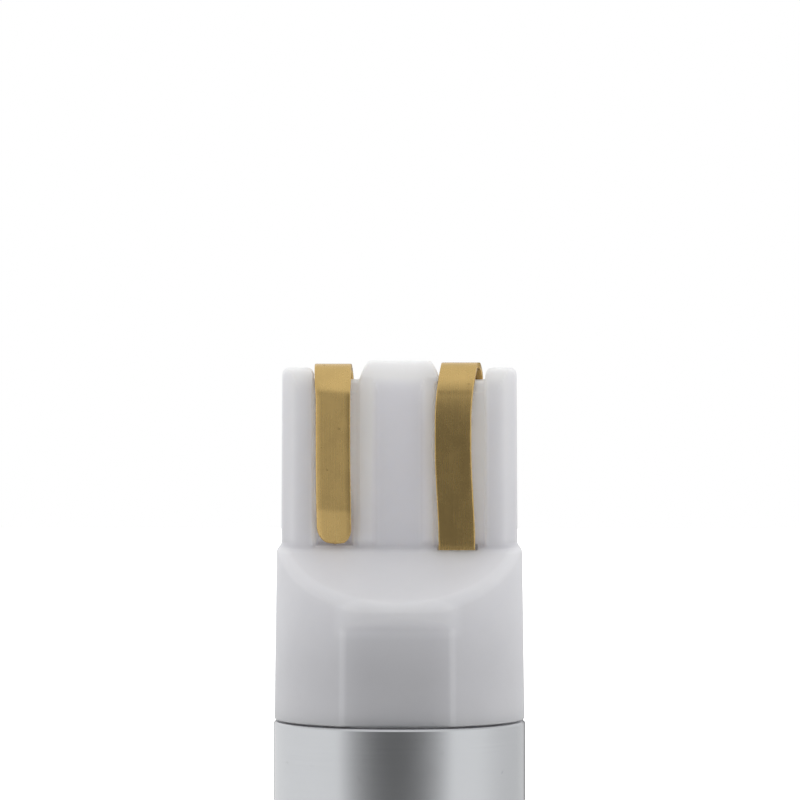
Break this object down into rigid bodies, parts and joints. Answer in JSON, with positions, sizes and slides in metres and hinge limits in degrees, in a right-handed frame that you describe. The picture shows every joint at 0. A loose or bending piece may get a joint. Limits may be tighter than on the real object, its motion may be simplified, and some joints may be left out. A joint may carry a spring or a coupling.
{
  "type": "wedge base led bulb",
  "caption": "Small wedge base LED bulb: white moulded wedge cap with folded gold contact strips on a turned aluminium heat sink with a milky diffuser.",
  "frame": {"origin": "centre of the flat face of the light end, on which the bulb stands", "axes": "+Z from the light end up to the wedge cap, along the bulb's axis; X along the blade's width; -Y is the side where the left contact shows its free end"},
  "size_m": [0.01, 0.01, 0.028],
  "materials": {
    "wedge_base": "white heat-resisting nylon, softly satin",
    "contact": "satin gold plating on spring bronze strip",
    "heat_sink": "turned, fine satin",
    "diffuser": "milky, lightly frosted",
    "seal": "silicone ring",
    "emitter": "white package with yellow phosphor",
    "emitter_board": "white solder mask on a metal core",
    "thermal_pad": "blue-grey filled silicone",
    "lead_core": "tinned copper",
    "lead_jacket_black": "matt insulation",
    "lead_jacket_red": "matt insulation",
    "driver_board": "green solder mask",
    "solder": "bright solder",
    "component_body": "black moulding compound",
    "capacitor": "tan ceramic chip"
  },
  "bodies": {
    "root": {"diffuser_lens": "diffuser", "lens_seal": "seal", "led_emitter_1": "emitter", "led_emitter_2": "emitter", "led_emitter_3": "emitter", "led_emitter_4": "emitter", "led_board": "emitter_board", "led_solder_left": "solder", "led_solder_right": "solder", "thermal_pad": "thermal_pad", "heat_sink": "heat_sink", "lead_core_left": "lead_core", "lead_core_right": "lead_core", "lead_jacket_left": "lead_jacket_black", "lead_jacket_right": "lead_jacket_red", "driver_board": "driver_board", "driver_solder_left": "solder", "driver_solder_right": "solder", "rectifier_diode_1": "component_body", "rectifier_diode_2": "component_body", "rectifier_diode_3": "component_body", "rectifier_diode_4": "component_body", "surge_diode": "component_body", "sense_resistor": "component_body", "ballast_resistor_1": "component_body", "ballast_resistor_2": "component_body", "current_regulator": "component_body", "smoothing_capacitor": "capacitor", "contact_solder_left": "solder", "contact_solder_right": "solder", "contact_left": "contact", "contact_right": "contact", "wedge_base": "wedge_base"}
  },
  "joints": []
}
